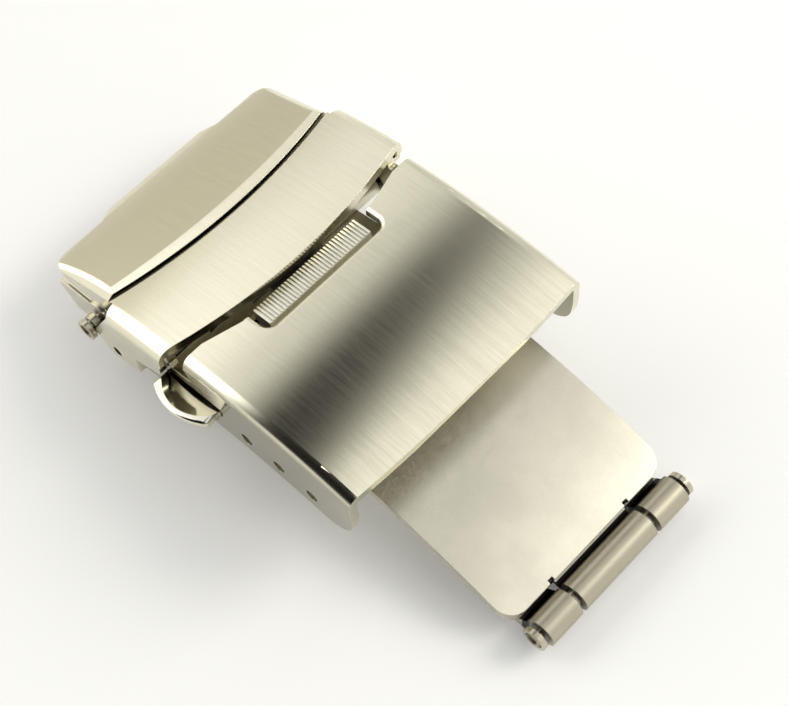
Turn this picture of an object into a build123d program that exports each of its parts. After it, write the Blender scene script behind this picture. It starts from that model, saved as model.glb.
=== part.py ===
from build123d import *
import os
from math import sin, cos

# Deployant clasp, closed. X runs along the clasp from the flap to the fold, Y across it, Z up.
# The origin is the middle of the middle adjustment hole. A place along the clasp is a length on
# the cover's outer face from that hole, and a drop is a depth square to that face.

# Lengthwise curve of the clasp
top_radius = 50.5
hole_drop = 4.2

# Cover
cover_width = 20.0
cover_sheet = 0.6
cover_left = -7.78
cover_right = 6.6
cover_right_bow = 0.35
cover_edge_round = 0.75
wall_overlap = 0.45
wall_corner = 2.2
wall_left = -15.0
wall_shelf_drop = 1.0
wall_saddle_drop = 2.15
notch_edge_round = 0.3
lead_in_depth = 0.8
lead_in_side = 1.7
lead_in_flare = 0.55
notch_depth = 2.5
notch_half_width = 5.05
notch_corner = 0.7
adjust_hole_radius = 0.45
adjust_pitch = 3.03

# Safety flap
flap_lift = 0.1
flap_sheet = 0.8
flap_edge_round = 1.1
flap_seam_bevel = 0.25
flange_sheet = 0.56
flange_gap = 0.1
flap_right_bow = 1.55
band_left = -14.93
flange_top_drop = 0.45
flange_left = -17.8
flange_left_drop = 2.9
flange_heel = -17.35
flange_heel_drop = 4.6
flange_foot = -17.15
flange_toe = -13.73
flange_bottom_drop = 4.9
flange_notch = -13.23
flange_notch_drop = 3.3
flange_lobe = 0.8
flange_throat = -9.53
flange_throat_drop = 1.4
snap_hole_radius = 0.38
snap_hole_at = -16.0
snap_hole_drop = 4.15
pillow_left = -22.25
pillow_side = 0.4
pillow_left_lift = 0.0
pillow_middle_lift = 0.29
pillow_lift = 0.5
pillow_corner = 1.2
pillow_wall = 0.6
pillow_slope_left = 0.25
pillow_slope_right = 0.8
pillow_flat_overhang = 1.0
pillow_side_soft = 0.5
pillow_rim_left_drop = 0.7
pillow_rim_turn = -21.5
pillow_rim_turn_drop = 1.2
pillow_rim_middle = -18.9
pillow_rim_middle_drop = 1.9
pillow_rim_right_drop = 2.0
pillow_bridge = 1.5
pillow_bridge_drop = 1.4
seam_middle = -14.23
seam_bow = 1.28
seam_roll = 1.4
seam_roll_radius = 7.0
nail_tab_reach = 0.65
nail_tab_half_width = 5.2
nail_tab_taper = 1.1
nail_tab_sheet = 0.6
lip_inset = 0.15
lip_right = -6.05
lip_side = 0.65
lip_top_drop = 0.8
lip_bottom_drop = 1.75
lip_groove_pitch = 0.26
lip_groove_width = 0.13
lip_groove_depth = 0.1
lip_groove_count = 33
lip_neck_half_width = 2.2
lip_neck_left = -9.9
lip_neck_sheet = 0.5
lip_neck_right = -7.0
lip_neck_drop = 1.7
flap_pin_at = -10.83
flap_pin_drop = 2.0
flap_pin_radius = 0.5
flap_pin_overhang = 0.2
flap_boss_radius = 1.0

# Push button in the near wall, with its spring and guide
button_left = -10.53
button_right = -5.2
button_top_drop = 2.95
button_thickness = 0.72
button_stand = 1.97
button_rise = 0.87
button_rim_round = 0.2
button_corner = 0.26
button_rim = 0.35
button_dish_flatness = 3.9
button_plate_length = 2.9
button_plate_sheet = 0.7
button_plate_step = 0.1
button_wing = 0.3
button_travel = 0.8
button_arm_left = -10.38
button_arm_right = -9.05
button_arm_sheet = 0.45
button_leg = 0.5
button_toe = 0.15
button_toe_sheet = 0.4
button_leg_clearance = 0.4
spring_at = -6.6
spring_drop = 3.4
spring_radius = 0.42
spring_bore = 0.26
spring_web = 0.65
spring_pocket_half = 0.6
guide_sheet = 0.4
guide_rail = 0.5
guide_end_wall = 0.35
guide_setback = 1.0
guide_end_half = 0.7
guide_end_drop = 3.0
guide_left_rail_drop = 2.95

# Catch post on the base blade
post_left = -10.33
post_right = -9.0
post_thickness = 0.75
post_gap = 0.3
post_top_gap = 0.15
post_lip_reach = 0.5
post_lip_sheet = 0.5
post_slot_play = 0.35
post_slot_left_play = 0.62
post_slot_right_play = 0.6

# Middle blade
blade_sheet = 0.7
blade_overhang = 0.9
blade_corner = 1.4
blade_end_gap = 1.65
knuckle_radius = 1.05
cover_hinge_at = -12.63
cover_hinge_side = 0.2
cover_hinge_radius = 0.6
fold_at = 19.75
fold_side_length = 2.6
fold_side_gap = 0.4
relief_depth = 0.25
tongue_sheet = 0.35

# Base blade
base_side = 3.8
blade_gap = 0.35
base_sheet = 0.8
base_left = -18.25
base_end_gap = 1.45
neck_outer_reach = 0.15
neck_outer_rise = 0.6
neck_right_reach = 1.0
neck_right_drop = 0.5
neck_left_reach = 1.0

# Strap lug
ear_side = 0.25
ear_sheet = 0.75
ear_tip = -22.5
ear_tip_drop = 1.4
ear_under = -22.3
ear_under_drop = 3.0
ear_belly = -22.1
ear_belly_drop = 3.7
ear_right_drop = 3.2
ear_eye = 1.3
lug_left = -17.5
lug_right = -15.3
lug_sheet = 0.7

# Strap bar and fold bar
strap_bar_at = -18.63
strap_bar_drop = 3.2
strap_tube_radius = 0.85
strap_tube_bore = 0.5
strap_tip_radius = 0.45
strap_tip_depth = 1.4
strap_tip_travel = 0.25
strap_collar_radius = 0.72
strap_collar_sheet = 0.5
strap_groove_radius = 0.5
strap_groove_width = 0.2
strap_disc_sheet = 0.35
strap_disc_radius = 0.75
strap_spring_play = 0.7
bar_end_dimple = 0.12
bar_end_rim = 0.25
fold_tube_radius = 0.6
fold_tube_bore = 0.34
fold_tip_depth = 2.2
fold_collar = 0.3
fold_disc_sheet = 0.34
fold_disc_radius = 0.85

# Fits
running = 0.05
press = 0.01
slide_gap = 0.1
rim_gap = 0.25
overrun = 1.0

cover_half = cover_width / 2
cover_inner_half = cover_half - cover_sheet
flange_inner = cover_half + flange_gap
flap_half_width = flange_inner + flange_sheet
flap_right = cover_left
flap_under = flap_sheet - flap_lift
pillow_half_width = cover_half - pillow_side
nail_tab_left = pillow_left - nail_tab_reach
flap_sweep = (
    (flap_right - flap_right_bow * (cover_inner_half / flap_half_width) ** 2 - flap_pin_at) ** 2
    + (flap_pin_drop + flap_lift) ** 2
) ** (1 / 2)
seam_radius = (pillow_half_width**2 + seam_bow**2) / (2 * seam_bow)
pillow_flat_left_half = pillow_half_width - pillow_slope_left
pillow_flat_right_half = pillow_half_width - pillow_slope_right
lip_left = cover_left + lip_inset
lip_half_width = notch_half_width - lip_side
base_half = cover_half - base_side
base_width = 2 * base_half
button_at = (button_left + button_right) / 2
button_half_length = (button_right - button_left) / 2
button_bottom_drop = button_top_drop + button_thickness
button_plate_drop = button_top_drop + button_plate_step
button_plate_bottom = button_plate_drop + button_plate_sheet
button_bow = (button_half_length**2 + button_rise**2) / (2 * button_rise)
button_middle_reach = cover_half + button_stand
button_plate_outer = cover_inner_half - slide_gap
button_plate_inner = button_plate_outer - button_plate_length
guide_floor_drop = button_plate_bottom + slide_gap
guide_bottom_drop = guide_floor_drop + guide_sheet
guide_left = button_left - button_wing - slide_gap
guide_right = button_right + button_wing + slide_gap
guide_inner = button_plate_inner - button_travel - slide_gap
guide_outer = cover_inner_half - guide_setback
spring_inner = guide_inner + button_travel + running
spring_outer = button_plate_outer - spring_web
post_top_drop = button_plate_drop + button_arm_sheet + post_top_gap
post_outer = guide_inner - post_gap
post_inner = post_outer - post_thickness - post_lip_reach
button_leg_drop = post_top_drop + post_lip_sheet + slide_gap + button_toe_sheet
button_leg_inner = post_inner - slide_gap - button_toe - button_leg
post_slot_left = post_left - post_slot_left_play
post_slot_right = post_right + post_slot_right_play
post_slot_inner = post_inner - post_slot_play
post_slot_outer = post_outer + post_slot_play
blade_top_drop = button_leg_drop + button_leg_clearance
blade_width = base_width + 2 * blade_overhang
blade_right = fold_at - blade_end_gap
wall_bottom = blade_top_drop + wall_overlap
base_top_drop = blade_top_drop + blade_sheet + blade_gap
base_bottom_drop = base_top_drop + base_sheet
base_right = fold_at - base_end_gap
knuckle_drop = blade_top_drop + blade_sheet - knuckle_radius
relief_left = blade_right - relief_depth
tongue_drop = blade_top_drop + blade_sheet - tongue_sheet
cover_hinge_half_length = cover_inner_half - cover_hinge_side
fold_side_outer = base_half
fold_side_inner = fold_side_outer - fold_side_length
fold_center_half = fold_side_inner - fold_side_gap
fold_tip_inner = fold_side_outer - fold_tip_depth
fold_disc_inner = fold_side_outer + fold_collar
ear_outer = cover_half - ear_side
ear_inner = ear_outer - ear_sheet
strap_tube_half = ear_inner - slide_gap
strap_tip_inner = strap_tube_half - strap_tip_depth
strap_spring_half = strap_tip_inner - strap_spring_play
strap_collar_inner = ear_outer + strap_tip_travel
strap_collar_outer = strap_collar_inner + strap_collar_sheet
strap_disc_inner = strap_collar_outer + strap_groove_width


def spot(along, drop):
    """Point in the side view at a length along the outer face and a drop square to it."""
    turn = along / top_radius
    reach = top_radius - drop
    return reach * sin(turn), reach * cos(turn) - (top_radius - hole_drop)


def outer_reach(point):
    """Distance of a point from the axis of the clasp's curve."""
    return (point.X**2 + (point.Z + top_radius - hole_drop) ** 2) ** (1 / 2)


def band_plane(along, bow_radius):
    """Plane through the centre of an edge's bow, with its height square to the flap's top."""
    turn = along / top_radius
    edge = spot(along, -flap_lift)
    return Plane(
        origin=(edge[0] - bow_radius * cos(turn), 0, edge[1] + bow_radius * sin(turn)),
        x_dir=(cos(turn), 0, -sin(turn)),
        z_dir=(0, -1, 0),
    )


def band_axis(along, bow_radius):
    """Axis of an edge's bow, square to the flap's top."""
    plane = band_plane(along, bow_radius)
    return Axis(plane.origin, plane.y_dir)


class CurvedStrip(BaseSketchObject):
    """Side view of a strip that follows the clasp's curve between two drops."""

    def __init__(self, start, end, top, bottom, mode=Mode.ADD):
        middle = (start + end) / 2
        with BuildSketch() as strip:
            with BuildLine():
                ThreePointArc(spot(start, top), spot(middle, top), spot(end, top))
                Line(spot(end, top), spot(end, bottom))
                ThreePointArc(spot(end, bottom), spot(middle, bottom), spot(start, bottom))
                Line(spot(start, bottom), spot(start, top))
            make_face()
        super().__init__(strip.sketch, 0, None, mode)


class SideOutline(BaseSketchObject):
    """Side view of a plate whose corners are lengths along the clasp and drops."""

    def __init__(self, corners, mode=Mode.ADD):
        with BuildSketch() as plate:
            with BuildLine():
                Polyline([spot(along, drop) for along, drop in corners], close=True)
            make_face()
        super().__init__(plate.sketch, 0, None, mode)


class PillowSide(BaseSketchObject):
    """Side view of a block whose top follows the pillow's, lowered by a depth."""

    def __init__(self, start, end, depth, corners, mode=Mode.ADD):
        with BuildSketch() as block:
            with BuildLine():
                top = ThreePointArc(
                    spot(start, depth - pillow_left_lift),
                    spot((start + end) / 2, depth - pillow_middle_lift),
                    spot(end, depth - pillow_lift),
                )
                Polyline([top @ 1, *[spot(along, drop) for along, drop in corners], top @ 0])
            make_face()
        super().__init__(block.sketch, 0, None, mode)


class BowedPlan(BaseSketchObject):
    """Plan between a straight left edge and a right edge that bows out in the middle."""

    def __init__(self, left, right, bow, half_width, mode=Mode.ADD):
        with BuildSketch() as plan:
            with BuildLine():
                ThreePointArc((right - bow, -half_width), (right, 0), (right - bow, half_width))
                Polyline(
                    (right - bow, half_width),
                    (left, half_width),
                    (left, -half_width),
                    (right - bow, -half_width),
                )
            make_face()
        super().__init__(plan.sketch, 0, None, mode)


cover_left_x = spot(cover_left, 0)[0]
cover_right_x = spot(cover_right, 0)[0]
seam_x = spot(seam_middle, 0)[0]
pillow_left_x = spot(pillow_left, 0)[0]
nail_tab_left_x = spot(nail_tab_left, 0)[0]
flap_right_x = spot(flap_right, 0)[0]

# Cover
with BuildPart() as cover_hollow:
    with BuildSketch(Plane.XZ):
        CurvedStrip(
            wall_left - overrun, cover_right + overrun, cover_sheet, wall_bottom + overrun
        )
    extrude(amount=cover_inner_half, both=True)
    fillet(
        cover_hollow.edges()
        .filter_by(GeomType.CIRCLE)
        .filter_by(lambda edge: edge.radius > top_radius - cover_sheet - press),
        cover_edge_round - cover_sheet,
    )

# What is cut off the cover's left end above the walls: the lead in and the finger notch
with BuildPart() as cover_front:
    with BuildSketch():
        with BuildLine():
            Polyline(
                (cover_left_x, -cover_width),
                (cover_left_x, lead_in_side - cover_half),
                (cover_left_x + lead_in_depth, -notch_half_width - lead_in_flare),
                (cover_left_x + lead_in_depth, notch_half_width + lead_in_flare),
                (cover_left_x, cover_half - lead_in_side),
                (cover_left_x, cover_width),
                (cover_left_x - cover_width, cover_width),
                (cover_left_x - cover_width, -cover_width),
                close=True,
            )
        make_face()
        with Locations((cover_left_x, 0)):
            RectangleRounded(2 * notch_depth, 2 * notch_half_width, notch_corner)
    extrude(amount=top_radius, both=True)
    with BuildSketch(Plane.XZ):
        CurvedStrip(wall_left - overrun, cover_right, -overrun, wall_shelf_drop)
    extrude(amount=cover_width, both=True, mode=Mode.INTERSECT)

with BuildPart() as cover:
    with BuildSketch(Plane.XZ) as cover_side:
        CurvedStrip(wall_left, cover_right, 0, wall_bottom)
        fillet(cover_side.vertices().sort_by(Axis.X)[-2:].sort_by(Axis.Y)[0], wall_corner)
    extrude(amount=cover_half, both=True)
    fillet(
        cover.edges()
        .filter_by(GeomType.CIRCLE)
        .filter_by(lambda edge: edge.radius > top_radius - press),
        cover_edge_round,
    )
    add(cover_hollow.part, mode=Mode.SUBTRACT)
    with BuildSketch(Plane.XY):
        BowedPlan(cover_right_x - 2 * cover_width, cover_right_x, cover_right_bow, cover_half)
    extrude(amount=top_radius, both=True, mode=Mode.INTERSECT)
    add(cover_front.part, mode=Mode.SUBTRACT)
    # Soft edge round the notch
    front_edges = cover.edges(Select.LAST).filter_by(
        lambda edge: abs(outer_reach(edge @ (1 / 2)) - top_radius) < press
        and (edge @ (1 / 2)).X < cover_left_x + 2 * notch_depth
        and abs((edge @ (1 / 2)).Y) < notch_half_width + press
    )
    fillet(front_edges, notch_edge_round)
    # Walls lowered in the sweep of the flap's right edge, with a round boss at each flap pin
    with BuildSketch(Plane.XZ):
        CurvedStrip(
            flap_pin_at, flap_pin_at + flap_sweep + overrun, -overrun, wall_saddle_drop
        )
        with Locations(spot(flap_pin_at, flap_pin_drop)):
            Circle(flap_sweep + slide_gap, mode=Mode.INTERSECT)
            Circle(flap_boss_radius, mode=Mode.SUBTRACT)
    extrude(amount=cover_width, both=True, mode=Mode.SUBTRACT)
    # Holes through both walls and the button's slot in the near one
    with BuildSketch(Plane.XZ):
        with Locations([spot(step * adjust_pitch, hole_drop) for step in (-1, 0, 1)]):
            Circle(adjust_hole_radius)
        with Locations(spot(cover_hinge_at, knuckle_drop)):
            Circle(cover_hinge_radius + press)
        with Locations(spot(flap_pin_at, flap_pin_drop)):
            Circle(flap_pin_radius + running)
    extrude(amount=cover_width, both=True, mode=Mode.SUBTRACT)
    with BuildSketch(Plane.XZ) as button_slot:
        CurvedStrip(
            button_left - slide_gap,
            button_right + slide_gap,
            button_top_drop - slide_gap,
            button_bottom_drop + slide_gap,
        )
        fillet(button_slot.vertices(), button_corner + slide_gap)
    extrude(amount=cover_width, mode=Mode.SUBTRACT)
cover.part.label = "cover"

# Pillow of the flap: a raised plate that slopes down at its sides and at the seam
pillow_middle = (pillow_left + seam_middle) / 2
pillow_start = Vector(*spot(pillow_left, -pillow_left_lift))
pillow_end = Vector(*spot(seam_middle, -pillow_lift))
pillow_along = (pillow_end - pillow_start).normalized()
pillow_middle_point = spot(pillow_middle, -pillow_middle_lift - running)
pillow_plane = Plane(
    origin=(pillow_middle_point[0], 0, pillow_middle_point[1]),
    x_dir=(pillow_along.X, 0, pillow_along.Y),
    z_dir=(-pillow_along.Y, 0, pillow_along.X),
)
pillow_half_length = (seam_middle - pillow_left) / 2
with BuildPart() as pillow_slopes:
    with BuildSketch(pillow_plane):
        Polygon(
            (-pillow_half_length - pillow_flat_overhang, -pillow_flat_left_half),
            (pillow_half_length + pillow_flat_overhang, -pillow_flat_right_half),
            (pillow_half_length + pillow_flat_overhang, pillow_flat_right_half),
            (-pillow_half_length - pillow_flat_overhang, pillow_flat_left_half),
            align=None,
        )
    extrude(amount=-flange_bottom_drop, taper=-45)
    with BuildSketch(pillow_plane):
        Rectangle(2 * cover_width, 2 * cover_width)
    extrude(amount=overrun)

# Roll of the pillow's top down to the seam, round the centre of the seam's bow
with BuildLine(Plane.XZ):
    pillow_line = ThreePointArc(
        spot(nail_tab_left, -pillow_left_lift),
        spot((nail_tab_left + seam_middle + overrun) / 2, -pillow_middle_lift),
        spot(seam_middle + overrun, -pillow_lift),
    )
seam_share = (seam_middle - nail_tab_left) / (seam_middle + overrun - nail_tab_left)
seam_along = pillow_line % seam_share
seam_up = Vector(-seam_along.Z, 0, seam_along.X)
seam_plane = Plane(
    origin=(pillow_line @ seam_share) + seam_up * (2 * press) - seam_along * seam_radius,
    x_dir=seam_along,
    z_dir=(0, -1, 0),
)
with BuildPart() as pillow_roll:
    with BuildSketch(seam_plane):
        with BuildLine():
            top = Line((0, 0), (seam_radius - seam_roll, 0))
            roll = TangentArc(
                top @ 1,
                (
                    seam_radius + overrun,
                    (seam_roll_radius**2 - (seam_roll + overrun) ** 2) ** (1 / 2)
                    - seam_roll_radius,
                ),
                tangent=top % 1,
            )
            Polyline(
                roll @ 1,
                (seam_radius + overrun, -flange_bottom_drop - overrun),
                (0, -flange_bottom_drop - overrun),
                (0, 0),
            )
        make_face()
    revolve(axis=Axis(seam_plane.origin, seam_up))

with BuildPart() as pillow:
    with BuildSketch(Plane.XZ):
        PillowSide(
            nail_tab_left,
            seam_middle + overrun,
            0,
            [
                (seam_middle + overrun, pillow_rim_right_drop),
                (band_left, pillow_rim_right_drop),
                (pillow_rim_middle, pillow_rim_middle_drop),
                (pillow_rim_turn, pillow_rim_turn_drop),
                (pillow_left, pillow_rim_left_drop),
                (nail_tab_left, nail_tab_sheet),
            ],
        )
    extrude(amount=pillow_half_width, both=True)
    with BuildSketch() as pillow_plan:
        BowedPlan(pillow_left_x, seam_x, seam_bow, pillow_half_width)
        fillet(pillow_plan.vertices().sort_by(Axis.X)[:2], pillow_corner)
        with BuildLine():
            Polyline(
                (pillow_left_x + pillow_wall, -nail_tab_half_width),
                (pillow_left_x, -nail_tab_half_width),
                (nail_tab_left_x, nail_tab_taper - nail_tab_half_width),
                (nail_tab_left_x, nail_tab_half_width - nail_tab_taper),
                (pillow_left_x, nail_tab_half_width),
                (pillow_left_x + pillow_wall, nail_tab_half_width),
                close=True,
            )
        make_face()
    extrude(amount=top_radius, both=True, mode=Mode.INTERSECT)
    add(pillow_slopes.part, mode=Mode.INTERSECT)
    pillow_top = pillow.faces().filter_by(GeomType.CYLINDER).sort_by(SortBy.AREA)[-1]
    side_edges = pillow_top.edges().filter_by(
        lambda edge: edge.length > 2 * pillow_corner
        and abs((edge @ (1 / 2)).Y) > pillow_flat_right_half
    )
    fillet(side_edges, pillow_side_soft)
    add(pillow_roll.part, mode=Mode.INTERSECT)
    # Hollow under the pillow and under its bridge to the band
    with BuildSketch(Plane.XZ):
        PillowSide(
            pillow_left + pillow_wall,
            seam_middle - seam_bow - pillow_bridge,
            flap_sheet,
            [
                (seam_middle - seam_bow - pillow_bridge, flange_bottom_drop),
                (pillow_left + pillow_wall, flange_bottom_drop),
            ],
        )
        CurvedStrip(
            seam_middle - seam_bow - pillow_bridge,
            seam_middle + overrun,
            pillow_bridge_drop,
            flange_bottom_drop,
        )
    extrude(amount=pillow_half_width - pillow_wall, both=True, mode=Mode.SUBTRACT)

# Safety flap: band, flanges and pillow, which has a nail tab on its left edge
with BuildPart() as flap_side:
    with BuildSketch(Plane.XZ):
        CurvedStrip(band_left, flap_right, -flap_lift - overrun, flap_under)
        SideOutline(
            [
                (band_left, flange_top_drop),
                (flange_left, flange_left_drop),
                (flange_heel, flange_heel_drop),
                (flange_foot, flange_bottom_drop),
                (flange_toe, flange_bottom_drop),
                (flange_notch, flange_notch_drop),
                (flap_pin_at, flap_pin_drop + flange_lobe),
                (flange_throat, flange_throat_drop),
                (flap_right - flap_right_bow, flange_top_drop),
            ]
        )
        with Locations(spot(flap_pin_at, flap_pin_drop)):
            Circle(flange_lobe)
            Circle(flap_pin_radius + press, mode=Mode.SUBTRACT)
        with Locations(spot(snap_hole_at, snap_hole_drop)):
            Circle(snap_hole_radius, mode=Mode.SUBTRACT)
    extrude(amount=flap_half_width, both=True)
    with BuildSketch(Plane.XZ):
        CurvedStrip(
            seam_middle - 2 * seam_bow, band_left + overrun, -flap_lift - overrun, flap_under
        )
    extrude(amount=pillow_half_width, both=True)

with BuildPart() as safety_flap:
    with BuildSketch(Plane.XZ):
        CurvedStrip(flange_left - overrun, flap_right, -flap_lift, flange_bottom_drop + overrun)
    extrude(amount=flap_half_width, both=True)
    fillet(
        safety_flap.edges()
        .filter_by(GeomType.CIRCLE)
        .filter_by(lambda edge: edge.radius > top_radius + flap_lift - press),
        flap_edge_round,
    )
    with BuildSketch(Plane.XZ):
        CurvedStrip(
            flange_left - 2 * overrun,
            flap_right + overrun,
            flap_under,
            flange_bottom_drop + 2 * overrun,
        )
    extrude(amount=flange_inner, both=True, mode=Mode.SUBTRACT)
    add(flap_side.part, mode=Mode.INTERSECT)
    with BuildSketch():
        BowedPlan(-2 * cover_width, flap_right_x, flap_right_bow, flap_half_width)
    extrude(amount=top_radius, both=True, mode=Mode.INTERSECT)
    with BuildSketch():
        BowedPlan(pillow_left_x, seam_x, seam_bow, pillow_half_width)
    extrude(amount=top_radius, both=True, mode=Mode.SUBTRACT)
    # Bevel along the seam
    with BuildSketch(band_plane(seam_middle, seam_radius)):
        Polygon(
            (0, overrun),
            (0, -flap_seam_bevel),
            (seam_radius, -flap_seam_bevel),
            (seam_radius + flap_seam_bevel + overrun, overrun),
            align=None,
        )
    revolve(axis=band_axis(seam_middle, seam_radius), mode=Mode.SUBTRACT)
    add(pillow.part)
safety_flap.part.label = "safety_flap"

# Grooved strip that shows in the cover's notch, carried by a neck under the flap's right edge
with BuildPart() as lip_groove:
    with BuildSketch(Plane.XZ):
        CurvedStrip(
            lip_left - overrun,
            lip_right + overrun,
            lip_top_drop - overrun,
            lip_top_drop + lip_groove_depth,
        )
    extrude(amount=lip_groove_width / 2, both=True)

with BuildPart() as flap_lip:
    with BuildSketch(Plane.XZ):
        CurvedStrip(lip_left, lip_right, lip_top_drop, lip_bottom_drop)
    extrude(amount=lip_half_width, both=True)
    with GridLocations(0, lip_groove_pitch, 1, lip_groove_count):
        add(lip_groove.part, mode=Mode.SUBTRACT)
    with BuildSketch(Plane.XZ):
        CurvedStrip(lip_neck_left, lip_neck_right, lip_neck_drop, lip_neck_drop + lip_neck_sheet)
        CurvedStrip(
            lip_neck_left,
            lip_neck_left + lip_neck_sheet,
            flap_under,
            lip_neck_drop + lip_neck_sheet,
        )
    extrude(amount=lip_neck_half_width, both=True)
flap_lip.part.label = "flap_lip"

with BuildPart() as flap_pin_left:
    with BuildSketch(Plane.XZ.offset(-flap_half_width)):
        with Locations(spot(flap_pin_at, flap_pin_drop)):
            Circle(flap_pin_radius)
    extrude(amount=flap_half_width - cover_inner_half + flap_pin_overhang)
flap_pin_left.part.label = "flap_pin_left"

with BuildPart() as flap_pin_right:
    add(flap_pin_left.part.mirror(Plane.XZ))
flap_pin_right.part.label = "flap_pin_right"

# Push button: head through the near wall, plate behind it, arm and hooked leg
button_dish_reach = button_bow - button_rim
button_dish_radius = button_dish_reach * button_dish_flatness
button_point = spot(button_at, button_top_drop)
button_turn = button_at / top_radius
button_plane = Plane(
    origin=(button_point[0], button_bow - button_middle_reach, button_point[1]),
    x_dir=(cos(button_turn), 0, -sin(button_turn)),
    z_dir=(sin(button_turn), 0, cos(button_turn)),
)
with BuildPart() as push_button:
    with BuildSketch(Plane.XZ.offset(button_plate_outer)) as button_head:
        CurvedStrip(button_left, button_right, button_top_drop, button_bottom_drop)
        fillet(button_head.vertices(), button_corner)
    extrude(amount=button_middle_reach + overrun - button_plate_outer)
    with BuildSketch():
        with Locations((spot(button_at, button_top_drop)[0], button_bow - button_middle_reach)):
            Circle(button_bow)
    extrude(amount=top_radius, both=True, mode=Mode.INTERSECT)
    fillet(push_button.faces().sort_by(Axis.Y)[0].edges(), button_rim_round)
    # Dish in the head's top, inside a rim
    with Locations(button_plane):
        with Locations((0, 0, (button_dish_radius**2 - button_dish_reach**2) ** (1 / 2))):
            Sphere(button_dish_radius, mode=Mode.SUBTRACT)
    # Plate with the spring's slot
    with BuildSketch(Plane.XZ.offset(button_plate_inner)):
        CurvedStrip(
            button_left - button_wing,
            button_right + button_wing,
            button_plate_drop,
            button_plate_bottom,
        )
    extrude(amount=button_plate_outer - button_plate_inner)
    with BuildSketch(Plane.XZ.offset(button_plate_inner - overrun)):
        CurvedStrip(
            spring_at - spring_pocket_half,
            spring_at + spring_pocket_half,
            button_plate_drop - overrun,
            button_plate_bottom + overrun,
        )
    extrude(amount=spring_outer + overrun - button_plate_inner, mode=Mode.SUBTRACT)
    # Arm, leg and toe
    with BuildSketch(Plane.XZ.offset(button_leg_inner)):
        CurvedStrip(
            button_arm_left,
            button_arm_right,
            button_plate_drop,
            button_plate_drop + button_arm_sheet,
        )
    extrude(amount=button_plate_inner - button_leg_inner)
    with BuildSketch(Plane.XZ.offset(button_leg_inner)):
        CurvedStrip(button_arm_left, button_arm_right, button_plate_drop, button_leg_drop)
    extrude(amount=button_leg)
    with BuildSketch(Plane.XZ.offset(button_leg_inner)):
        CurvedStrip(
            button_arm_left, button_arm_right, button_leg_drop - button_toe_sheet, button_leg_drop
        )
    extrude(amount=button_leg + button_toe)
push_button.part.label = "push_button"

# Button spring at its pressed length
with BuildPart() as button_spring:
    with BuildSketch(Plane.XZ.offset(spring_inner)):
        with Locations(spot(spring_at, spring_drop)):
            Circle(spring_radius)
            Circle(spring_bore, mode=Mode.SUBTRACT)
    extrude(amount=spring_outer - spring_inner)
button_spring.part.label = "button_spring"

# Button guide: floor under the plate, a rail at each end and a stop wall for the spring
with BuildPart() as button_guide:
    with BuildSketch(Plane.XZ.offset(guide_inner)):
        CurvedStrip(
            guide_left - guide_rail,
            guide_right + guide_rail,
            guide_floor_drop,
            guide_bottom_drop,
        )
    extrude(amount=guide_outer - guide_inner)
    with BuildSketch(Plane.XZ.offset(guide_inner)):
        CurvedStrip(
            guide_left - guide_rail, guide_left, guide_left_rail_drop, guide_bottom_drop
        )
        CurvedStrip(guide_right, guide_right + guide_rail, cover_edge_round, guide_bottom_drop)
    extrude(amount=cover_inner_half - guide_inner)
    with BuildSketch(Plane.XZ.offset(guide_inner)):
        CurvedStrip(guide_right, guide_right + guide_rail, cover_sheet, guide_bottom_drop)
    extrude(amount=guide_outer - guide_inner)
    with BuildSketch(Plane.XZ.offset(guide_inner - guide_end_wall)):
        CurvedStrip(
            spring_at - guide_end_half,
            spring_at + guide_end_half,
            guide_end_drop,
            guide_bottom_drop,
        )
    extrude(amount=guide_end_wall)
button_guide.part.label = "button_guide"

# Hinge pin across the cover
with BuildPart() as cover_hinge_pin:
    with BuildSketch(Plane.XZ):
        with Locations(spot(cover_hinge_at, knuckle_drop)):
            Circle(cover_hinge_radius)
    extrude(amount=cover_half, both=True)
cover_hinge_pin.part.label = "cover_hinge_pin"

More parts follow.
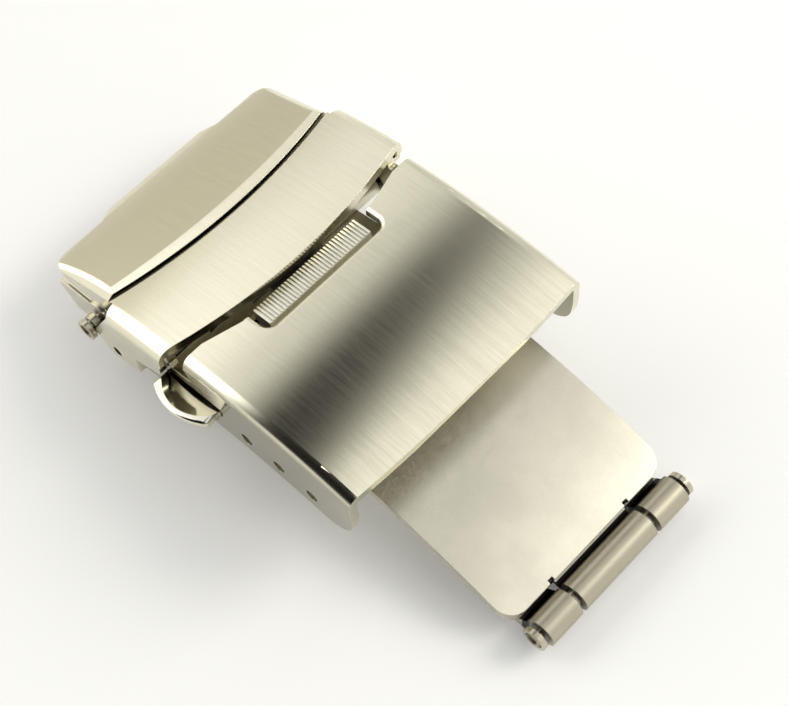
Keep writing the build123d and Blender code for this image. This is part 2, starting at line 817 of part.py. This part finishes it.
# Middle blade: curved sheet between the cover's hinge and the fold
with BuildPart() as middle_blade:
    with BuildSketch(Plane.XZ):
        CurvedStrip(cover_hinge_at, blade_right, blade_top_drop, base_top_drop - rim_gap)
    extrude(amount=blade_width / 2, both=True)
    with BuildSketch(Plane.XZ):
        CurvedStrip(
            cover_hinge_at - overrun,
            blade_right + overrun,
            blade_top_drop + blade_sheet,
            base_top_drop,
        )
    extrude(amount=blade_width, both=True, mode=Mode.SUBTRACT)
    with BuildSketch() as blade_plan:
        with BuildLine():
            Polyline(
                (-cover_width, -blade_width / 2),
                (spot(blade_right, blade_top_drop)[0], -blade_width / 2),
                (spot(blade_right, blade_top_drop)[0], blade_width / 2),
                (-cover_width, blade_width / 2),
                close=True,
            )
        make_face()
        fillet(blade_plan.vertices().sort_by(Axis.X)[-2:], blade_corner)
        # Slot for the catch post and relief slots beside the middle knuckle
        post_slot_middle = spot((post_slot_left + post_slot_right) / 2, blade_top_drop)[0]
        with Locations((post_slot_middle, -(post_slot_inner + post_slot_outer) / 2)):
            SlotOverall(
                post_slot_right - post_slot_left,
                post_slot_outer - post_slot_inner,
                mode=Mode.SUBTRACT,
            )
        with GridLocations(0, fold_center_half + fold_side_inner, 1, 2):
            with Locations((spot(blade_right, blade_top_drop)[0], 0)):
                Rectangle(
                    2 * (blade_right - relief_left),
                    fold_side_inner - fold_center_half,
                    mode=Mode.SUBTRACT,
                )
    extrude(amount=top_radius, both=True, mode=Mode.INTERSECT)
    # Knuckles with their bores
    with BuildSketch(Plane.XZ):
        with Locations(spot(cover_hinge_at, knuckle_drop)):
            Circle(knuckle_radius)
    extrude(amount=cover_hinge_half_length, both=True)
    with BuildSketch(Plane.XZ):
        CurvedStrip(relief_left - overrun, fold_at, tongue_drop, blade_top_drop + blade_sheet)
        with Locations(spot(fold_at, knuckle_drop)):
            Circle(knuckle_radius)
    extrude(amount=fold_center_half, both=True)
    with BuildSketch(Plane.XZ):
        with Locations(spot(cover_hinge_at, knuckle_drop)):
            Circle(cover_hinge_radius + running)
        with Locations(spot(fold_at, knuckle_drop)):
            Circle(fold_tube_radius + running)
    extrude(amount=cover_width, both=True, mode=Mode.SUBTRACT)
middle_blade.part.label = "middle_blade"

# Base blade: the sheet that lies on the wrist, with a knuckle at each side of the fold
with BuildPart() as base_blade:
    with BuildSketch(Plane.XZ):
        CurvedStrip(base_left, base_right, base_top_drop, base_bottom_drop)
    extrude(amount=base_width / 2, both=True)
    with BuildSketch(Plane.XZ):
        SideOutline(
            [
                (fold_at - neck_left_reach, blade_top_drop),
                (base_right, base_top_drop),
                (base_right, base_bottom_drop),
                (fold_at + neck_outer_reach, base_bottom_drop - neck_outer_rise),
                (fold_at + neck_right_reach, knuckle_drop + neck_right_drop),
            ]
        )
        with Locations(spot(fold_at, knuckle_drop)):
            Circle(knuckle_radius)
            Circle(fold_tube_radius + press, mode=Mode.SUBTRACT)
    extrude(amount=fold_side_outer, both=True)
    with BuildSketch(Plane.XZ):
        CurvedStrip(base_right, fold_at + 2 * knuckle_radius, 0, base_bottom_drop + overrun)
    extrude(amount=fold_side_inner, both=True, mode=Mode.SUBTRACT)
base_blade.part.label = "base_blade"

# Catch post that stands through the middle blade beside the button's leg
with BuildPart() as catch_post:
    with BuildSketch(Plane.XZ.offset(post_outer - post_thickness)):
        CurvedStrip(post_left, post_right, post_top_drop, base_top_drop)
    extrude(amount=post_thickness)
    with BuildSketch(Plane.XZ.offset(post_inner)):
        CurvedStrip(post_left, post_right, post_top_drop, post_top_drop + post_lip_sheet)
    extrude(amount=post_outer - post_inner)
catch_post.part.label = "catch_post"

# Strap lug: cross plate on the base blade with an ear at each side
with BuildPart() as strap_lug:
    with BuildSketch(Plane.XZ):
        SideOutline(
            [
                (ear_tip, ear_tip_drop),
                (pillow_rim_turn, pillow_rim_turn_drop + rim_gap),
                (pillow_rim_middle, pillow_rim_middle_drop + rim_gap),
                (lug_left, pillow_rim_right_drop + rim_gap),
                (lug_right, ear_right_drop),
                (lug_right, base_top_drop),
                (lug_left, base_top_drop),
                (strap_bar_at, strap_bar_drop + ear_eye),
                (ear_belly, ear_belly_drop),
                (ear_under, ear_under_drop),
            ]
        )
        CurvedStrip(
            lug_left - overrun,
            lug_right + overrun,
            base_top_drop,
            base_bottom_drop,
            mode=Mode.SUBTRACT,
        )
        with Locations(spot(strap_bar_at, strap_bar_drop)):
            Circle(ear_eye)
            Circle(strap_tip_radius + running, mode=Mode.SUBTRACT)
    extrude(amount=ear_outer, both=True)
    with BuildSketch(Plane.XZ):
        CurvedStrip(ear_tip - overrun, lug_right + overrun, 0, base_top_drop - lug_sheet)
        CurvedStrip(ear_tip - overrun, lug_left, 0, base_bottom_drop)
    extrude(amount=ear_inner, both=True, mode=Mode.SUBTRACT)
strap_lug.part.label = "strap_lug"

# Strap bar: tube between the ears with a sprung tip at each end
with BuildPart() as strap_bar:
    with BuildSketch(Plane.XZ):
        with Locations(spot(strap_bar_at, strap_bar_drop)):
            Circle(strap_tube_radius)
            Circle(strap_tube_bore, mode=Mode.SUBTRACT)
    extrude(amount=strap_tube_half, both=True)
strap_bar.part.label = "strap_bar"

with BuildPart() as strap_bar_spring:
    with BuildSketch(Plane.XZ):
        with Locations(spot(strap_bar_at, strap_bar_drop)):
            Circle(spring_radius)
            Circle(spring_bore, mode=Mode.SUBTRACT)
    extrude(amount=strap_spring_half, both=True)
strap_bar_spring.part.label = "strap_bar_spring"

with BuildPart() as strap_bar_tip_left:
    with BuildSketch(Plane.XZ.offset(-strap_tip_inner)):
        with Locations(spot(strap_bar_at, strap_bar_drop)):
            Circle(strap_tip_radius)
    extrude(amount=strap_tip_inner - strap_collar_inner)
    with BuildSketch(Plane.XZ.offset(-strap_collar_inner)):
        with Locations(spot(strap_bar_at, strap_bar_drop)):
            Circle(strap_collar_radius)
    extrude(amount=-strap_collar_sheet)
    with BuildSketch(Plane.XZ.offset(-strap_collar_outer)):
        with Locations(spot(strap_bar_at, strap_bar_drop)):
            Circle(strap_groove_radius)
    extrude(amount=-strap_groove_width)
    with BuildSketch(Plane.XZ.offset(-strap_disc_inner)):
        with Locations(spot(strap_bar_at, strap_bar_drop)):
            Circle(strap_disc_radius)
    extrude(amount=-strap_disc_sheet)
    with BuildSketch(Plane.XZ.offset(-strap_disc_inner - strap_disc_sheet + bar_end_dimple)):
        with Locations(spot(strap_bar_at, strap_bar_drop)):
            Circle(strap_disc_radius - bar_end_rim)
    extrude(amount=-overrun, mode=Mode.SUBTRACT)
strap_bar_tip_left.part.label = "strap_bar_tip_left"

with BuildPart() as strap_bar_tip_right:
    add(strap_bar_tip_left.part.mirror(Plane.XZ))
strap_bar_tip_right.part.label = "strap_bar_tip_right"

# Fold bar: tube through the knuckles with a flanged tip pressed in at each end
with BuildPart() as fold_bar:
    with BuildSketch(Plane.XZ):
        with Locations(spot(fold_at, knuckle_drop)):
            Circle(fold_tube_radius)
            Circle(fold_tube_bore, mode=Mode.SUBTRACT)
    extrude(amount=fold_side_outer, both=True)
fold_bar.part.label = "fold_bar"

with BuildPart() as fold_bar_tip_left:
    with BuildSketch(Plane.XZ.offset(-fold_tip_inner)):
        with Locations(spot(fold_at, knuckle_drop)):
            Circle(fold_tube_bore - press)
    extrude(amount=fold_tip_inner - fold_disc_inner)
    with BuildSketch(Plane.XZ.offset(-fold_disc_inner)):
        with Locations(spot(fold_at, knuckle_drop)):
            Circle(fold_disc_radius)
    extrude(amount=-fold_disc_sheet)
    with BuildSketch(Plane.XZ.offset(-fold_disc_inner - fold_disc_sheet + bar_end_dimple)):
        with Locations(spot(fold_at, knuckle_drop)):
            Circle(fold_disc_radius - bar_end_rim)
    extrude(amount=-overrun, mode=Mode.SUBTRACT)
fold_bar_tip_left.part.label = "fold_bar_tip_left"

with BuildPart() as fold_bar_tip_right:
    add(fold_bar_tip_left.part.mirror(Plane.XZ))
fold_bar_tip_right.part.label = "fold_bar_tip_right"

os.makedirs("parts", exist_ok=True)
export_step(safety_flap.part, "parts/safety_flap.step")
export_step(flap_lip.part, "parts/flap_lip.step")
export_step(flap_pin_left.part, "parts/flap_pin_left.step")
export_step(flap_pin_right.part, "parts/flap_pin_right.step")
export_step(cover.part, "parts/cover.step")
export_step(push_button.part, "parts/push_button.step")
export_step(button_spring.part, "parts/button_spring.step")
export_step(button_guide.part, "parts/button_guide.step")
export_step(cover_hinge_pin.part, "parts/cover_hinge_pin.step")
export_step(middle_blade.part, "parts/middle_blade.step")
export_step(base_blade.part, "parts/base_blade.step")
export_step(catch_post.part, "parts/catch_post.step")
export_step(strap_lug.part, "parts/strap_lug.step")
export_step(strap_bar.part, "parts/strap_bar.step")
export_step(strap_bar_spring.part, "parts/strap_bar_spring.step")
export_step(strap_bar_tip_left.part, "parts/strap_bar_tip_left.step")
export_step(strap_bar_tip_right.part, "parts/strap_bar_tip_right.step")
export_step(fold_bar.part, "parts/fold_bar.step")
export_step(fold_bar_tip_left.part, "parts/fold_bar_tip_left.step")
export_step(fold_bar_tip_right.part, "parts/fold_bar_tip_right.step")
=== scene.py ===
import bpy
from mathutils import Matrix, Vector


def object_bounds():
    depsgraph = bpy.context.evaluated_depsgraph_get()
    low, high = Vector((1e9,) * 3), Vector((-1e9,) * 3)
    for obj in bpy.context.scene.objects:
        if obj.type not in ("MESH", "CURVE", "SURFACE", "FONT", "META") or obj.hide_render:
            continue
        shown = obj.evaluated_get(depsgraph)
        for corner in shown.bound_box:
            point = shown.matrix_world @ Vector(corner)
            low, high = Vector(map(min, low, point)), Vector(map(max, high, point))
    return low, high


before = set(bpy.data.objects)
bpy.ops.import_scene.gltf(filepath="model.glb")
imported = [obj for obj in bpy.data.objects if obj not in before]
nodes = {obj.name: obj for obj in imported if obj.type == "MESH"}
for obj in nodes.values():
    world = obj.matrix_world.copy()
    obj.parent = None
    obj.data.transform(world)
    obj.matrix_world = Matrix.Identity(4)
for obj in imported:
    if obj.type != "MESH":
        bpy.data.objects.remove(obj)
cad_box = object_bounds()

MM = 0.001

# Camera, matched to the outline in the photograph
PHOTO_WIDTH_PX = 788
PHOTO_FOCAL_PX = 1726.8
SENSOR_WIDTH_MM = 36.0
CAMERA_NEAREST = 0.001
CAMERA_FARTHEST = 10.0
CAMERA_AT = Vector((39.16, -32.90, 93.05)) * MM
CAMERA_LOOK = Vector((-0.3703, 0.3114, -0.8752)).normalized()
CAMERA_RIGHT = Vector((0.7229, 0.6882, -0.0610))

camera_data = bpy.data.cameras.new("camera")
camera_data.sensor_fit = "HORIZONTAL"
camera_data.sensor_width = SENSOR_WIDTH_MM
camera_data.lens = PHOTO_FOCAL_PX / PHOTO_WIDTH_PX * camera_data.sensor_width
camera_data.clip_start = CAMERA_NEAREST
camera_data.clip_end = CAMERA_FARTHEST
camera = bpy.data.objects.new("camera", camera_data)
bpy.context.scene.collection.objects.link(camera)
right = (CAMERA_RIGHT - CAMERA_RIGHT.dot(CAMERA_LOOK) * CAMERA_LOOK).normalized()
up = right.cross(CAMERA_LOOK).normalized()
turn = Matrix((right, up, -CAMERA_LOOK)).transposed()
camera.matrix_world = Matrix.Translation(CAMERA_AT) @ turn.to_4x4()
bpy.context.scene.camera = camera


class Nodes:
    """Short calls for a node tree."""

    def __init__(self, tree):
        self.tree = tree

    def add(self, kind, **values):
        node = self.tree.nodes.new(kind)
        for name, value in values.items():
            setattr(node, name, value)
        return node

    def link(self, source, target):
        self.tree.links.new(source, target)

    def put(self, socket, value):
        if isinstance(value, bpy.types.NodeSocket):
            self.link(value, socket)
        else:
            socket.default_value = value

    def math(self, operation, a, b=None, clamp=False):
        node = self.add("ShaderNodeMath", operation=operation, use_clamp=clamp)
        self.put(node.inputs[0], a)
        if b is not None:
            self.put(node.inputs[1], b)
        return node.outputs[0]

    def product(self, first, *others):
        for other in others:
            first = self.math("MULTIPLY", first, other)
        return first

    def dot(self, a, b):
        node = self.add("ShaderNodeVectorMath", operation="DOT_PRODUCT")
        self.put(node.inputs[0], a)
        self.put(node.inputs[1], b)
        return node.outputs["Value"]

    def remap(self, value, low, high, to_low=0.0, to_high=1.0, smooth=True):
        node = self.add("ShaderNodeMapRange", clamp=True)
        node.interpolation_type = "SMOOTHSTEP" if smooth else "LINEAR"
        self.put(node.inputs["Value"], value)
        node.inputs["From Min"].default_value = low
        node.inputs["From Max"].default_value = high
        node.inputs["To Min"].default_value = to_low
        node.inputs["To Max"].default_value = to_high
        return node.outputs["Result"]

    def mix(self, factor, a, b, blend="MIX"):
        node = self.add("ShaderNodeMix", data_type="RGBA", blend_type=blend)
        self.put(node.inputs["Factor"], factor)
        self.put(node.inputs["A"], a)
        self.put(node.inputs["B"], b)
        return node.outputs["Result"]

    def noise(self, vector, scale, detail, roughness):
        node = self.add("ShaderNodeTexNoise")
        self.put(node.inputs["Vector"], vector)
        node.inputs["Scale"].default_value = scale
        node.inputs["Detail"].default_value = detail
        node.inputs["Roughness"].default_value = roughness
        return node.outputs["Fac"]

    def stretched(self, vector, scale):
        node = self.add("ShaderNodeMapping")
        self.put(node.inputs["Vector"], vector)
        node.inputs["Scale"].default_value = scale
        return node.outputs["Vector"]


def grey(level):
    return (level, level, level, 1)


def scaled(colour, share):
    """Colour times a share, kept at 1 or below, with its alpha."""
    return tuple(min(value * share, 1.0) for value in colour) + (1,)


# World: a pale room with a dark patch overhead that widens towards the near side, which metal
# shows as a band. Each stop is the direction's X, from -1 to 1, and the brightness there. Each
# pair below is where a patch starts and where it is full, in the direction's X, Y or Z
ROOM = [
    (-1.00, 0.60), (-0.95, 0.66), (-0.89, 0.66), (-0.82, 0.84), (-0.74, 0.98), (-0.66, 0.95),
    (-0.60, 0.88), (-0.50, 0.76), (-0.25, 0.80), (-0.18, 1.05), (-0.12, 1.32), (-0.04, 1.10),
    (0.02, 0.64), (0.20, 0.76), (0.60, 1.00), (1.00, 0.95),
]
ROOM_BLUE = 0.985
ROOM_STRENGTH = 0.95
NEW_STOP_AT = 0.5
DARK_LEVEL = 0.01
DARK_LEFT_X = (-0.55, -0.41)
DARK_RIGHT_X = (-0.20, -0.34)
DARK_FAR_Y = (0.52, 0.34)
DARK_RISE_Z = (0.05, 0.30)
DARK_SPREAD = 0.65
DARK_SPREAD_FROM = 0.31
# To the left, the near side of the room is white, and a fainter band runs on beyond it
NEAR_LEVEL = 2.3
NEAR_Y = (0.18, 0.02)
NEAR_X = (-0.42, -0.60)
NEAR_RISE_Z = (-0.02, 0.10)
BAND_SHARE = 0.30
BAND_Y = (0.38, 0.18)
BAND_RIGHT_X = (-0.58, -0.68)
BAND_LEFT_X = (-0.88, -0.80)
# To the right, the near side is dim
SHADE_LEVEL = 0.30
SHADE_Y = (0.10, -0.10)
SHADE_X = (-0.35, -0.15)
# The room turns warm at its left end
WARM_X = (-0.78, -0.92)
WARM_TINT = (1.0, 0.955, 0.85, 1)

world = bpy.data.worlds.new("room")
bpy.context.scene.world = world
world.use_nodes = True
world.node_tree.nodes.clear()
w = Nodes(world.node_tree)
way = w.add("ShaderNodeTexCoord").outputs["Generated"]
way_x = w.dot(way, (1.0, 0.0, 0.0))
way_y = w.dot(way, (0.0, 1.0, 0.0))
way_z = w.dot(way, (0.0, 0.0, 1.0))
profile = w.add("ShaderNodeValToRGB")
while len(profile.color_ramp.elements) < len(ROOM):
    profile.color_ramp.elements.new(NEW_STOP_AT)
for stop, (place, level) in zip(profile.color_ramp.elements, ROOM):
    stop.position = (place + 1) / 2
    stop.color = (level, level, level * ROOM_BLUE, 1)
w.link(w.remap(way_x, -1.0, 1.0, smooth=False), profile.inputs[0])
spread = w.math("MULTIPLY", w.math("SUBTRACT", DARK_SPREAD_FROM, way_y), DARK_SPREAD)
dark = w.product(
    w.remap(way_x, *DARK_LEFT_X),
    w.remap(w.math("SUBTRACT", way_x, spread), *DARK_RIGHT_X),
    w.remap(way_y, *DARK_FAR_Y),
    w.remap(way_z, *DARK_RISE_Z),
)
near = w.product(
    w.remap(way_y, *NEAR_Y), w.remap(way_x, *NEAR_X), w.remap(way_z, *NEAR_RISE_Z)
)
band = w.product(
    w.remap(way_y, *BAND_Y), w.remap(way_x, *BAND_RIGHT_X), w.remap(way_x, *BAND_LEFT_X)
)
near = w.math("MAXIMUM", near, w.math("MULTIPLY", band, BAND_SHARE))
dim = w.product(w.remap(way_y, *SHADE_Y), w.remap(way_x, *SHADE_X))
room = w.mix(near, profile.outputs["Color"], grey(NEAR_LEVEL))
room = w.mix(dim, room, grey(SHADE_LEVEL))
room = w.mix(dark, room, grey(DARK_LEVEL))
room = w.mix(w.remap(way_x, *WARM_X), room, WARM_TINT, blend="MULTIPLY")
background = w.add("ShaderNodeBackground")
w.link(room, background.inputs["Color"])
background.inputs["Strength"].default_value = ROOM_STRENGTH
w.link(background.outputs[0], w.add("ShaderNodeOutputWorld").inputs["Surface"])

# Lamp, square, aimed at the clasp
KEY_AT = Vector((0.24, 0.36, 0.32))
KEY_SIDE = 0.26
KEY_POWER = 1.25
KEY_COLOUR = (1.0, 0.98, 0.94)

key_data = bpy.data.lights.new("key", "AREA")
key_data.shape = "RECTANGLE"
key_data.size = key_data.size_y = KEY_SIDE
key_data.energy = KEY_POWER
key_data.color = KEY_COLOUR
key = bpy.data.objects.new("key", key_data)
bpy.context.scene.collection.objects.link(key)
key_turn = (-KEY_AT).normalized().to_track_quat("-Z", "Y").to_matrix().to_4x4()
key.matrix_world = Matrix.Translation(KEY_AT) @ key_turn

# Floor
FLOOR_HALF = 1.5
FLOOR_LIFT = 0.15
FLOOR_COLOUR = (0.93, 0.93, 0.905, 1)
FLOOR_LIFT_COLOUR = (1.0, 1.0, 0.985, 1)
FLOOR_ROUGHNESS = 0.7
FLOOR_SPECULAR = 0.2
floor_z = cad_box[0][2]
floor_corners = [(-1, -1), (1, -1), (1, 1), (-1, 1)]
floor_mesh = bpy.data.meshes.new("floor")
floor_mesh.from_pydata(
    [(x * FLOOR_HALF, y * FLOOR_HALF, floor_z) for x, y in floor_corners], [], [(0, 1, 2, 3)]
)
floor = bpy.data.objects.new("floor", floor_mesh)
bpy.context.scene.collection.objects.link(floor)
floor_material = bpy.data.materials.new("floor")
floor_material.use_nodes = True
floor_shader = floor_material.node_tree.nodes["Principled BSDF"]
floor_shader.inputs["Base Color"].default_value = FLOOR_COLOUR
floor_shader.inputs["Roughness"].default_value = FLOOR_ROUGHNESS
floor_shader.inputs["Specular IOR Level"].default_value = FLOOR_SPECULAR
f = Nodes(floor_material.node_tree)
rays = f.add("ShaderNodeLightPath").outputs
seen = f.math("ADD", rays["Is Camera Ray"], rays["Is Glossy Ray"], clamp=True)
seen = f.math("ADD", seen, rays["Is Transmission Ray"], clamp=True)
floor_shader.inputs["Emission Color"].default_value = FLOOR_LIFT_COLOUR
f.link(f.math("MULTIPLY", seen, FLOOR_LIFT), floor_shader.inputs["Emission Strength"])
floor_mesh.materials.append(floor_material)

# Steel. The hairlines follow the clasp's curve
CURVE_CENTRE_DROP = 46.3 * MM
CURVE_RADIUS = 50.5 * MM
# Noise, each as detail and roughness, and how the fine and the broad streaks share
FINE_NOISE = (3.0, 0.6)
BROAD_NOISE = (2.0, 0.5)
CLOUD_NOISE = (3.0, 0.6)
CLOUD_SCALE = 260.0
FINE_SHARE = 0.6
BROAD_RATIO = 6
STREAK_RANGE = (0.3, 0.7)
CLOUD_RANGE = (0.35, 0.65)
ROUGHNESS_SWING = 0.15
# Painted shade in crevices, gaps and recesses: how open a place is, over the openness range
# below, sets the share of its own colour, and the rest is a near-black painted shade
CREVICE_DEPTH = 1.6 * MM
CREVICE_SAMPLES = 8
PAINTED_SHADE_COLOUR = (0.012, 0.011, 0.009, 1)
PAINTED_SHADE_OPENNESS = (0.05, 0.75)
PAINTED_SHADE_SHARES = (0.20, 1.0)
EDGE_SOFTNESS = 0.05 * MM
EDGE_SAMPLES = 4
# Places along the blade where its rolled end starts, from which it gets painted shade, and
# where the painted shadow in the gap before it lies
ROLL_FROM = (15.97 * MM, 16.05 * MM)
GAP_SHADOW_LEFT = (15.97 * MM, 16.02 * MM)
GAP_SHADOW_RIGHT = (16.75 * MM, 16.45 * MM)
# How squarely a wall has to face across the clasp to get painted shade
WALL_SHADE_FACING = (0.75, 0.98)


def along_curve(n):
    """Place as length along the clasp's curve, width and distance from the curve's centre."""
    place = n.add("ShaderNodeTexCoord").outputs["Object"]
    parts = n.add("ShaderNodeSeparateXYZ")
    n.link(place, parts.inputs[0])
    x, y, z = parts.outputs
    rise = n.math("ADD", z, CURVE_CENTRE_DROP)
    turn = n.math("ARCTAN2", x, rise)
    reach = n.math("SQRT", n.math("ADD", n.product(x, x), n.product(rise, rise)))
    joined = n.add("ShaderNodeCombineXYZ")
    n.link(n.math("MULTIPLY", turn, CURVE_RADIUS), joined.inputs[0])
    n.link(y, joined.inputs[1])
    n.link(reach, joined.inputs[2])
    return joined.outputs[0]


def steel(
    name,
    colour,
    roughness,
    grain,
    lines,
    anisotropy=0.0,
    mottle=0.0,
    contrast=0.1,
    rolled_end_shade=None,
    wall_shade_share=None,
):
    """Steel with hairlines: grain is how many cross a metre per axis, lines their depth."""
    material = bpy.data.materials.new(name)
    material.use_nodes = True
    n = Nodes(material.node_tree)
    shader = material.node_tree.nodes["Principled BSDF"]
    place = along_curve(n)
    coarse = tuple(value / BROAD_RATIO for value in grain)
    fine = n.noise(n.stretched(place, grain), 1.0, *FINE_NOISE)
    broad = n.noise(n.stretched(place, coarse), 1.0, *BROAD_NOISE)
    streak = n.math(
        "ADD",
        n.math("MULTIPLY", fine, FINE_SHARE),
        n.math("MULTIPLY", broad, 1 - FINE_SHARE),
    )
    tone = n.remap(streak, *STREAK_RANGE)
    if mottle:
        cloud = n.remap(n.noise(place, CLOUD_SCALE, *CLOUD_NOISE), *CLOUD_RANGE)
        tone = n.math(
            "ADD", n.math("MULTIPLY", tone, 1 - mottle), n.math("MULTIPLY", cloud, mottle)
        )
    shade = n.mix(tone, scaled(colour, 1 - contrast), scaled(colour, 1 + contrast / 2))
    if rolled_end_shade:
        # The rolled ends at the fold get painted shade, darker than the flat sheet, and the
        # gap before them a painted near-black shadow
        parts = n.add("ShaderNodeSeparateXYZ")
        n.link(n.add("ShaderNodeTexCoord").outputs["Object"], parts.inputs[0])
        along = parts.outputs[0]
        shade = n.mix(n.remap(along, *ROLL_FROM), shade, rolled_end_shade + (1,))
        painted_gap_shadow = n.product(n.remap(along, *GAP_SHADOW_LEFT), n.remap(along, *GAP_SHADOW_RIGHT))
        shade = n.mix(painted_gap_shadow, shade, PAINTED_SHADE_COLOUR)
    if wall_shade_share:
        # Painted shade: walls that face across the clasp are darker than its brushed top
        across = n.dot(n.add("ShaderNodeNewGeometry").outputs["Normal"], (0.0, 1.0, 0.0))
        wall_shade_mask = n.remap(n.math("ABSOLUTE", across), *WALL_SHADE_FACING)
        shade = n.mix(wall_shade_mask, shade, scaled(colour, wall_shade_share))
    # Painted shade: ambient occlusion darkens the colour in crevices, gaps and under parts
    crevice = n.add("ShaderNodeAmbientOcclusion", samples=CREVICE_SAMPLES)
    crevice.inputs["Distance"].default_value = CREVICE_DEPTH
    painted_shade_share = n.remap(crevice.outputs["AO"], *PAINTED_SHADE_OPENNESS, *PAINTED_SHADE_SHARES)
    n.link(n.mix(painted_shade_share, PAINTED_SHADE_COLOUR, shade), shader.inputs["Base Color"])
    rough = roughness * (1 + ROUGHNESS_SWING)
    smooth = roughness * (1 - ROUGHNESS_SWING)
    n.link(n.remap(streak, *STREAK_RANGE, rough, smooth), shader.inputs["Roughness"])
    shader.inputs["Metallic"].default_value = 1.0
    if anisotropy:
        shader.inputs["Anisotropic"].default_value = anisotropy
        axis = n.add("ShaderNodeCombineXYZ")
        axis.inputs[1].default_value = 1.0
        n.link(axis.outputs[0], shader.inputs["Tangent"])
    edge = n.add("ShaderNodeBevel", samples=EDGE_SAMPLES)
    edge.inputs["Radius"].default_value = EDGE_SOFTNESS
    bump = n.add("ShaderNodeBump")
    bump.inputs["Strength"].default_value = 1.0
    bump.inputs["Distance"].default_value = lines
    n.link(streak, bump.inputs["Height"])
    n.link(edge.outputs[0], bump.inputs["Normal"])
    n.link(bump.outputs[0], shader.inputs["Normal"])
    return material


def even(lines_per_metre):
    """Grain that is the same on every axis."""
    return (lines_per_metre,) * 3


BRUSHED = {
    "colour": (0.80, 0.765, 0.60),
    "roughness": 0.17,
    "grain": (600, 26000, 26000),
    "lines": 0.0007 * MM,
    "anisotropy": 0.8,
    "contrast": 0.07,
}
brushed = steel("brushed_steel", **BRUSHED)
# Painted shade on the cover's walls, at half its colour
cover_steel = steel("cover_steel", wall_shade_share=0.5, **BRUSHED)
lip_steel = steel(
    "lip_steel",
    colour=(0.95, 0.92, 0.78),
    roughness=0.35,
    grain=even(5000),
    lines=0.002 * MM,
    mottle=0.4,
)
satin = steel(
    "satin_steel",
    colour=(0.72, 0.69, 0.57),
    roughness=0.38,
    grain=even(5000),
    lines=0.002 * MM,
    mottle=0.5,
    # Painted shade on the rolled ends at the fold
    rolled_end_shade=(0.50, 0.46, 0.355),
)
polished = steel(
    "polished_steel",
    colour=(0.80, 0.77, 0.65),
    roughness=0.13,
    grain=even(900),
    lines=0.001 * MM,
)
inner = steel(
    "inner_steel",
    colour=(0.62, 0.59, 0.48),
    roughness=0.35,
    grain=even(2500),
    lines=0.002 * MM,
)
turned = steel(
    "turned_steel",
    colour=(0.58, 0.54, 0.42),
    roughness=0.26,
    grain=(9000, 400, 9000),
    lines=0.002 * MM,
)

LOOKS = {
    "cover": cover_steel,
    "safety_flap": brushed,
    "flap_lip": lip_steel,
    "flap_pin_left": polished,
    "flap_pin_right": polished,
    "push_button": polished,
    "button_spring": inner,
    "button_guide": inner,
    "cover_hinge_pin": turned,
    "middle_blade": satin,
    "base_blade": satin,
    "catch_post": inner,
    "strap_lug": satin,
    "strap_bar": turned,
    "strap_bar_spring": inner,
    "strap_bar_tip_left": turned,
    "strap_bar_tip_right": turned,
    "fold_bar": turned,
    "fold_bar_tip_left": turned,
    "fold_bar_tip_right": turned,
}
for name, node in nodes.items():
    for index in range(max(len(node.material_slots), 1)):
        if node.material_slots:
            node.material_slots[index].material = LOOKS[name]
        else:
            node.data.materials.append(LOOKS[name])

bpy.context.scene.view_settings.view_transform = "Standard"
